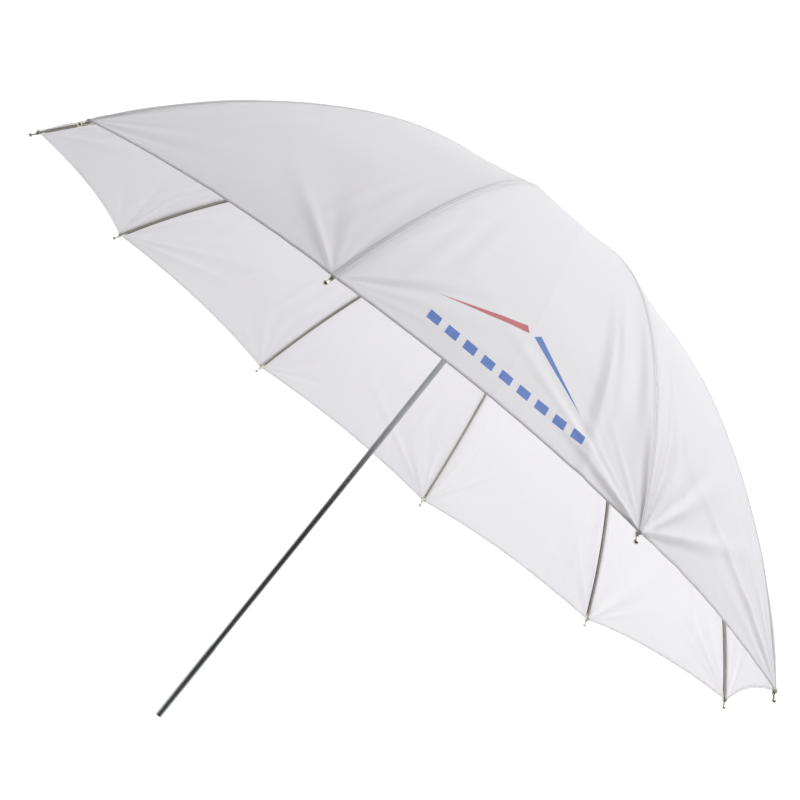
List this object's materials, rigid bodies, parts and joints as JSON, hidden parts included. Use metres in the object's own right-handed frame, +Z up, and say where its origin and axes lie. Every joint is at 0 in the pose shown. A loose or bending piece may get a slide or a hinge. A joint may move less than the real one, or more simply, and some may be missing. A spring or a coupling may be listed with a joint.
{
  "type": "umbrella reflector",
  "caption": "Folding photographic umbrella: a thin white canopy on curved steel ribs with stretchers, a sliding runner, a spring catch and a plain shaft for a lamp bracket.",
  "frame": {"origin": "centre of the shaft's free end", "axes": "+Z runs up the shaft to the canopy; the first rib points along +X; the spring catch faces -Y"},
  "size_m": [1.0436, 0.9928, 0.7326],
  "materials": {
    "canopy_fabric": "thin white translucent nylon, satin",
    "rib_steel": "grey lacquered spring steel",
    "stretcher_steel": "grey lacquered steel",
    "nickel": "nickel plated, worn bright",
    "chromed_tube": "polished chrome",
    "spring_wire": "drawn wire",
    "runner_plastic": "moulded black plastic",
    "plug_plastic": "moulded black plastic"
  },
  "bodies": {
    "shaft_and_crown": {"shaft_tube": "chromed_tube", "shaft_sleeve": "chromed_tube", "shaft_plug": "plug_plastic", "crown": "runner_plastic", "crown_wire": "spring_wire", "canopy_patch": "canopy_fabric", "canopy_cap": "nickel"},
    "rib_01": {"rib_01": "rib_steel", "rib_tip_01": "nickel"},
    "stretcher_01": {"stretcher_01": "stretcher_steel"},
    "gore_01_left": {"gore_01_left": "canopy_fabric"},
    "gore_10_right": {"gore_10_right": "canopy_fabric"},
    "rib_02": {"rib_02": "rib_steel", "rib_tip_02": "nickel"},
    "stretcher_02": {"stretcher_02": "stretcher_steel"},
    "gore_02_left": {"gore_02_left": "canopy_fabric"},
    "gore_01_right": {"gore_01_right": "canopy_fabric"},
    "rib_03": {"rib_03": "rib_steel", "rib_tip_03": "nickel"},
    "stretcher_03": {"stretcher_03": "stretcher_steel"},
    "gore_03_left": {"gore_03_left": "canopy_fabric"},
    "gore_02_right": {"gore_02_right": "canopy_fabric"},
    "rib_04": {"rib_04": "rib_steel", "rib_tip_04": "nickel"},
    "stretcher_04": {"stretcher_04": "stretcher_steel"},
    "gore_04_left": {"gore_04_left": "canopy_fabric"},
    "gore_03_right": {"gore_03_right": "canopy_fabric"},
    "rib_05": {"rib_05": "rib_steel", "rib_tip_05": "nickel"},
    "stretcher_05": {"stretcher_05": "stretcher_steel"},
    "gore_05_left": {"gore_05_left": "canopy_fabric"},
    "gore_04_right": {"gore_04_right": "canopy_fabric"},
    "rib_06": {"rib_06": "rib_steel", "rib_tip_06": "nickel"},
    "stretcher_06": {"stretcher_06": "stretcher_steel"},
    "gore_06_left": {"gore_06_left": "canopy_fabric"},
    "gore_05_right": {"gore_05_right": "canopy_fabric"},
    "rib_07": {"rib_07": "rib_steel", "rib_tip_07": "nickel"},
    "stretcher_07": {"stretcher_07": "stretcher_steel"},
    "gore_07_left": {"gore_07_left": "canopy_fabric"},
    "gore_06_right": {"gore_06_right": "canopy_fabric"},
    "rib_08": {"rib_08": "rib_steel", "rib_tip_08": "nickel"},
    "stretcher_08": {"stretcher_08": "stretcher_steel"},
    "gore_08_left": {"gore_08_left": "canopy_fabric"},
    "gore_07_right": {"gore_07_right": "canopy_fabric"},
    "rib_09": {"rib_09": "rib_steel", "rib_tip_09": "nickel"},
    "stretcher_09": {"stretcher_09": "stretcher_steel"},
    "gore_09_left": {"gore_09_left": "canopy_fabric"},
    "gore_08_right": {"gore_08_right": "canopy_fabric"},
    "rib_10": {"rib_10": "rib_steel", "rib_tip_10": "nickel"},
    "stretcher_10": {"stretcher_10": "stretcher_steel"},
    "gore_10_left": {"gore_10_left": "canopy_fabric"},
    "gore_09_right": {"gore_09_right": "canopy_fabric"},
    "runner": {"runner": "runner_plastic", "runner_wire": "spring_wire"},
    "catch_spring": {"catch_spring": "spring_wire"}
  },
  "joints": [
    {"name": "rib_01_hinge", "type": "hinge", "parent": "shaft_and_crown", "child": "rib_01", "pos_m": [0.009, 0, 0.71532], "axis": [0, 1, 0], "range_deg": [0, 58]},
    {"name": "stretcher_01_rivet", "type": "hinge", "parent": "rib_01", "child": "stretcher_01", "pos_m": [0.23781, 0, 0.66174], "axis": [0, 1, 0], "range_deg": [-116, 0]},
    {"name": "gore_01_left_fold", "type": "hinge", "parent": "rib_01", "child": "gore_01_left", "pos_m": [0.009, -0.0277, 0.71532], "axis": [-0.6448, -0.6756, -0.3574], "range_deg": [0, 19.24], "deforming": ["gore_01_left"]},
    {"name": "gore_10_right_fold", "type": "hinge", "parent": "rib_01", "child": "gore_10_right", "pos_m": [0.009, 0.0277, 0.71532], "axis": [0.6448, -0.6756, 0.3574], "range_deg": [0, 19.24], "deforming": ["gore_10_right"]},
    {"name": "rib_02_hinge", "type": "hinge", "parent": "shaft_and_crown", "child": "rib_02", "pos_m": [0.00728, 0.00529, 0.71532], "axis": [-0.5878, 0.809, 0], "range_deg": [0, 58]},
    {"name": "stretcher_02_rivet", "type": "hinge", "parent": "rib_02", "child": "stretcher_02", "pos_m": [0.19239, 0.13978, 0.66174], "axis": [-0.5878, 0.809, 0], "range_deg": [-116, 0]},
    {"name": "gore_02_left_fold", "type": "hinge", "parent": "rib_02", "child": "gore_02_left", "pos_m": [0.02356, -0.01712, 0.71532], "axis": [-0.1246, -0.9256, -0.3574], "range_deg": [0, 19.24], "deforming": ["gore_02_left"]},
    {"name": "gore_01_right_fold", "type": "hinge", "parent": "rib_02", "child": "gore_01_right", "pos_m": [-0.009, 0.0277, 0.71532], "axis": [0.9188, -0.1676, 0.3574], "range_deg": [0, 19.24], "deforming": ["gore_01_right"]},
    {"name": "rib_03_hinge", "type": "hinge", "parent": "shaft_and_crown", "child": "rib_03", "pos_m": [0.00278, 0.00856, 0.71532], "axis": [-0.9511, 0.309, 0], "range_deg": [0, 58]},
    {"name": "stretcher_03_rivet", "type": "hinge", "parent": "rib_03", "child": "stretcher_03", "pos_m": [0.07349, 0.22617, 0.66174], "axis": [-0.9511, 0.309, 0], "range_deg": [-116, 0]},
    {"name": "gore_03_left_fold", "type": "hinge", "parent": "rib_03", "child": "gore_03_left", "pos_m": [0.02912, 0, 0.71532], "axis": [0.4433, -0.822, -0.3574], "range_deg": [0, 19.24], "deforming": ["gore_03_left"]},
    {"name": "gore_02_right_fold", "type": "hinge", "parent": "rib_03", "child": "gore_02_right", "pos_m": [-0.02356, 0.01712, 0.71532], "axis": [0.8418, 0.4045, 0.3574], "range_deg": [0, 19.24], "deforming": ["gore_02_right"]},
    {"name": "rib_04_hinge", "type": "hinge", "parent": "shaft_and_crown", "child": "rib_04", "pos_m": [-0.00278, 0.00856, 0.71532], "axis": [-0.9511, -0.309, 0], "range_deg": [0, 58]},
    {"name": "stretcher_04_rivet", "type": "hinge", "parent": "rib_04", "child": "stretcher_04", "pos_m": [-0.07349, 0.22617, 0.66174], "axis": [-0.9511, -0.309, 0], "range_deg": [-116, 0]},
    {"name": "gore_04_left_fold", "type": "hinge", "parent": "rib_04", "child": "gore_04_left", "pos_m": [0.02356, 0.01712, 0.71532], "axis": [0.8418, -0.4045, -0.3574], "range_deg": [0, 19.24], "deforming": ["gore_04_left"]},
    {"name": "gore_03_right_fold", "type": "hinge", "parent": "rib_04", "child": "gore_03_right", "pos_m": [-0.02912, 0, 0.71532], "axis": [0.4433, 0.822, 0.3574], "range_deg": [0, 19.24], "deforming": ["gore_03_right"]},
    {"name": "rib_05_hinge", "type": "hinge", "parent": "shaft_and_crown", "child": "rib_05", "pos_m": [-0.00728, 0.00529, 0.71532], "axis": [-0.5878, -0.809, 0], "range_deg": [0, 58]},
    {"name": "stretcher_05_rivet", "type": "hinge", "parent": "rib_05", "child": "stretcher_05", "pos_m": [-0.19239, 0.13978, 0.66174], "axis": [-0.5878, -0.809, 0], "range_deg": [-116, 0]},
    {"name": "gore_05_left_fold", "type": "hinge", "parent": "rib_05", "child": "gore_05_left", "pos_m": [0.009, 0.0277, 0.71532], "axis": [0.9188, 0.1676, -0.3574], "range_deg": [0, 19.24], "deforming": ["gore_05_left"]},
    {"name": "gore_04_right_fold", "type": "hinge", "parent": "rib_05", "child": "gore_04_right", "pos_m": [-0.02356, -0.01712, 0.71532], "axis": [-0.1246, 0.9256, 0.3574], "range_deg": [0, 19.24], "deforming": ["gore_04_right"]},
    {"name": "rib_06_hinge", "type": "hinge", "parent": "shaft_and_crown", "child": "rib_06", "pos_m": [-0.009, 0, 0.71532], "axis": [0, -1, 0], "range_deg": [0, 58]},
    {"name": "stretcher_06_rivet", "type": "hinge", "parent": "rib_06", "child": "stretcher_06", "pos_m": [-0.23781, 0, 0.66174], "axis": [0, -1, 0], "range_deg": [-116, 0]},
    {"name": "gore_06_left_fold", "type": "hinge", "parent": "rib_06", "child": "gore_06_left", "pos_m": [-0.009, 0.0277, 0.71532], "axis": [0.6448, 0.6756, -0.3574], "range_deg": [0, 19.24], "deforming": ["gore_06_left"]},
    {"name": "gore_05_right_fold", "type": "hinge", "parent": "rib_06", "child": "gore_05_right", "pos_m": [-0.009, -0.0277, 0.71532], "axis": [-0.6448, 0.6756, 0.3574], "range_deg": [0, 19.24], "deforming": ["gore_05_right"]},
    {"name": "rib_07_hinge", "type": "hinge", "parent": "shaft_and_crown", "child": "rib_07", "pos_m": [-0.00728, -0.00529, 0.71532], "axis": [0.5878, -0.809, 0], "range_deg": [0, 58]},
    {"name": "stretcher_07_rivet", "type": "hinge", "parent": "rib_07", "child": "stretcher_07", "pos_m": [-0.19239, -0.13978, 0.66174], "axis": [0.5878, -0.809, 0], "range_deg": [-116, 0]},
    {"name": "gore_07_left_fold", "type": "hinge", "parent": "rib_07", "child": "gore_07_left", "pos_m": [-0.02356, 0.01712, 0.71532], "axis": [0.1246, 0.9256, -0.3574], "range_deg": [0, 19.24], "deforming": ["gore_07_left"]},
    {"name": "gore_06_right_fold", "type": "hinge", "parent": "rib_07", "child": "gore_06_right", "pos_m": [0.009, -0.0277, 0.71532], "axis": [-0.9188, 0.1676, 0.3574], "range_deg": [0, 19.24], "deforming": ["gore_06_right"]},
    {"name": "rib_08_hinge", "type": "hinge", "parent": "shaft_and_crown", "child": "rib_08", "pos_m": [-0.00278, -0.00856, 0.71532], "axis": [0.9511, -0.309, 0], "range_deg": [0, 58]},
    {"name": "stretcher_08_rivet", "type": "hinge", "parent": "rib_08", "child": "stretcher_08", "pos_m": [-0.07349, -0.22617, 0.66174], "axis": [0.9511, -0.309, 0], "range_deg": [-116, 0]},
    {"name": "gore_08_left_fold", "type": "hinge", "parent": "rib_08", "child": "gore_08_left", "pos_m": [-0.02912, 0, 0.71532], "axis": [-0.4433, 0.822, -0.3574], "range_deg": [0, 19.24], "deforming": ["gore_08_left"]},
    {"name": "gore_07_right_fold", "type": "hinge", "parent": "rib_08", "child": "gore_07_right", "pos_m": [0.02356, -0.01712, 0.71532], "axis": [-0.8418, -0.4045, 0.3574], "range_deg": [0, 19.24], "deforming": ["gore_07_right"]},
    {"name": "rib_09_hinge", "type": "hinge", "parent": "shaft_and_crown", "child": "rib_09", "pos_m": [0.00278, -0.00856, 0.71532], "axis": [0.9511, 0.309, 0], "range_deg": [0, 58]},
    {"name": "stretcher_09_rivet", "type": "hinge", "parent": "rib_09", "child": "stretcher_09", "pos_m": [0.07349, -0.22617, 0.66174], "axis": [0.9511, 0.309, 0], "range_deg": [-116, 0]},
    {"name": "gore_09_left_fold", "type": "hinge", "parent": "rib_09", "child": "gore_09_left", "pos_m": [-0.02356, -0.01712, 0.71532], "axis": [-0.8418, 0.4045, -0.3574], "range_deg": [0, 19.24], "deforming": ["gore_09_left"]},
    {"name": "gore_08_right_fold", "type": "hinge", "parent": "rib_09", "child": "gore_08_right", "pos_m": [0.02912, 0, 0.71532], "axis": [-0.4433, -0.822, 0.3574], "range_deg": [0, 19.24], "deforming": ["gore_08_right"]},
    {"name": "rib_10_hinge", "type": "hinge", "parent": "shaft_and_crown", "child": "rib_10", "pos_m": [0.00728, -0.00529, 0.71532], "axis": [0.5878, 0.809, 0], "range_deg": [0, 58]},
    {"name": "stretcher_10_rivet", "type": "hinge", "parent": "rib_10", "child": "stretcher_10", "pos_m": [0.19239, -0.13978, 0.66174], "axis": [0.5878, 0.809, 0], "range_deg": [-116, 0]},
    {"name": "gore_10_left_fold", "type": "hinge", "parent": "rib_10", "child": "gore_10_left", "pos_m": [-0.009, -0.0277, 0.71532], "axis": [-0.9188, -0.1676, -0.3574], "range_deg": [0, 19.24], "deforming": ["gore_10_left"]},
    {"name": "gore_09_right_fold", "type": "hinge", "parent": "rib_10", "child": "gore_09_right", "pos_m": [0.02356, 0.01712, 0.71532], "axis": [0.1246, -0.9256, 0.3574], "range_deg": [0, 19.24], "deforming": ["gore_09_right"]},
    {"name": "runner_pivot", "type": "hinge", "parent": "stretcher_01", "child": "runner", "pos_m": [0.009, 0, 0.60815], "axis": [0, 1, 0], "range_deg": [0, 58]},
    {"name": "catch_press", "type": "slide", "parent": "shaft_and_crown", "child": "catch_spring", "axis": [0, 1, 0], "range_m": [0, 0.003], "stiffness_N_per_m": 1500, "springref_m": -0.0008, "deforming": ["catch_spring"]}
  ],
  "couplings": [
    {"joint": "stretcher_01_rivet", "follows": "rib_01_hinge", "ratio": -2},
    {"joint": "gore_01_left_fold", "follows": "rib_01_hinge", "ratio": 0.33176},
    {"joint": "gore_10_right_fold", "follows": "rib_01_hinge", "ratio": 0.33176},
    {"joint": "rib_02_hinge", "follows": "rib_01_hinge", "ratio": 1},
    {"joint": "stretcher_02_rivet", "follows": "rib_01_hinge", "ratio": -2},
    {"joint": "gore_02_left_fold", "follows": "rib_01_hinge", "ratio": 0.33176},
    {"joint": "gore_01_right_fold", "follows": "rib_01_hinge", "ratio": 0.33176},
    {"joint": "rib_03_hinge", "follows": "rib_01_hinge", "ratio": 1},
    {"joint": "stretcher_03_rivet", "follows": "rib_01_hinge", "ratio": -2},
    {"joint": "gore_03_left_fold", "follows": "rib_01_hinge", "ratio": 0.33176},
    {"joint": "gore_02_right_fold", "follows": "rib_01_hinge", "ratio": 0.33176},
    {"joint": "rib_04_hinge", "follows": "rib_01_hinge", "ratio": 1},
    {"joint": "stretcher_04_rivet", "follows": "rib_01_hinge", "ratio": -2},
    {"joint": "gore_04_left_fold", "follows": "rib_01_hinge", "ratio": 0.33176},
    {"joint": "gore_03_right_fold", "follows": "rib_01_hinge", "ratio": 0.33176},
    {"joint": "rib_05_hinge", "follows": "rib_01_hinge", "ratio": 1},
    {"joint": "stretcher_05_rivet", "follows": "rib_01_hinge", "ratio": -2},
    {"joint": "gore_05_left_fold", "follows": "rib_01_hinge", "ratio": 0.33176},
    {"joint": "gore_04_right_fold", "follows": "rib_01_hinge", "ratio": 0.33176},
    {"joint": "rib_06_hinge", "follows": "rib_01_hinge", "ratio": 1},
    {"joint": "stretcher_06_rivet", "follows": "rib_01_hinge", "ratio": -2},
    {"joint": "gore_06_left_fold", "follows": "rib_01_hinge", "ratio": 0.33176},
    {"joint": "gore_05_right_fold", "follows": "rib_01_hinge", "ratio": 0.33176},
    {"joint": "rib_07_hinge", "follows": "rib_01_hinge", "ratio": 1},
    {"joint": "stretcher_07_rivet", "follows": "rib_01_hinge", "ratio": -2},
    {"joint": "gore_07_left_fold", "follows": "rib_01_hinge", "ratio": 0.33176},
    {"joint": "gore_06_right_fold", "follows": "rib_01_hinge", "ratio": 0.33176},
    {"joint": "rib_08_hinge", "follows": "rib_01_hinge", "ratio": 1},
    {"joint": "stretcher_08_rivet", "follows": "rib_01_hinge", "ratio": -2},
    {"joint": "gore_08_left_fold", "follows": "rib_01_hinge", "ratio": 0.33176},
    {"joint": "gore_07_right_fold", "follows": "rib_01_hinge", "ratio": 0.33176},
    {"joint": "rib_09_hinge", "follows": "rib_01_hinge", "ratio": 1},
    {"joint": "stretcher_09_rivet", "follows": "rib_01_hinge", "ratio": -2},
    {"joint": "gore_09_left_fold", "follows": "rib_01_hinge", "ratio": 0.33176},
    {"joint": "gore_08_right_fold", "follows": "rib_01_hinge", "ratio": 0.33176},
    {"joint": "rib_10_hinge", "follows": "rib_01_hinge", "ratio": 1},
    {"joint": "stretcher_10_rivet", "follows": "rib_01_hinge", "ratio": -2},
    {"joint": "gore_10_left_fold", "follows": "rib_01_hinge", "ratio": 0.33176},
    {"joint": "gore_09_right_fold", "follows": "rib_01_hinge", "ratio": 0.33176},
    {"joint": "runner_pivot", "follows": "rib_01_hinge", "ratio": 1}
  ]
}
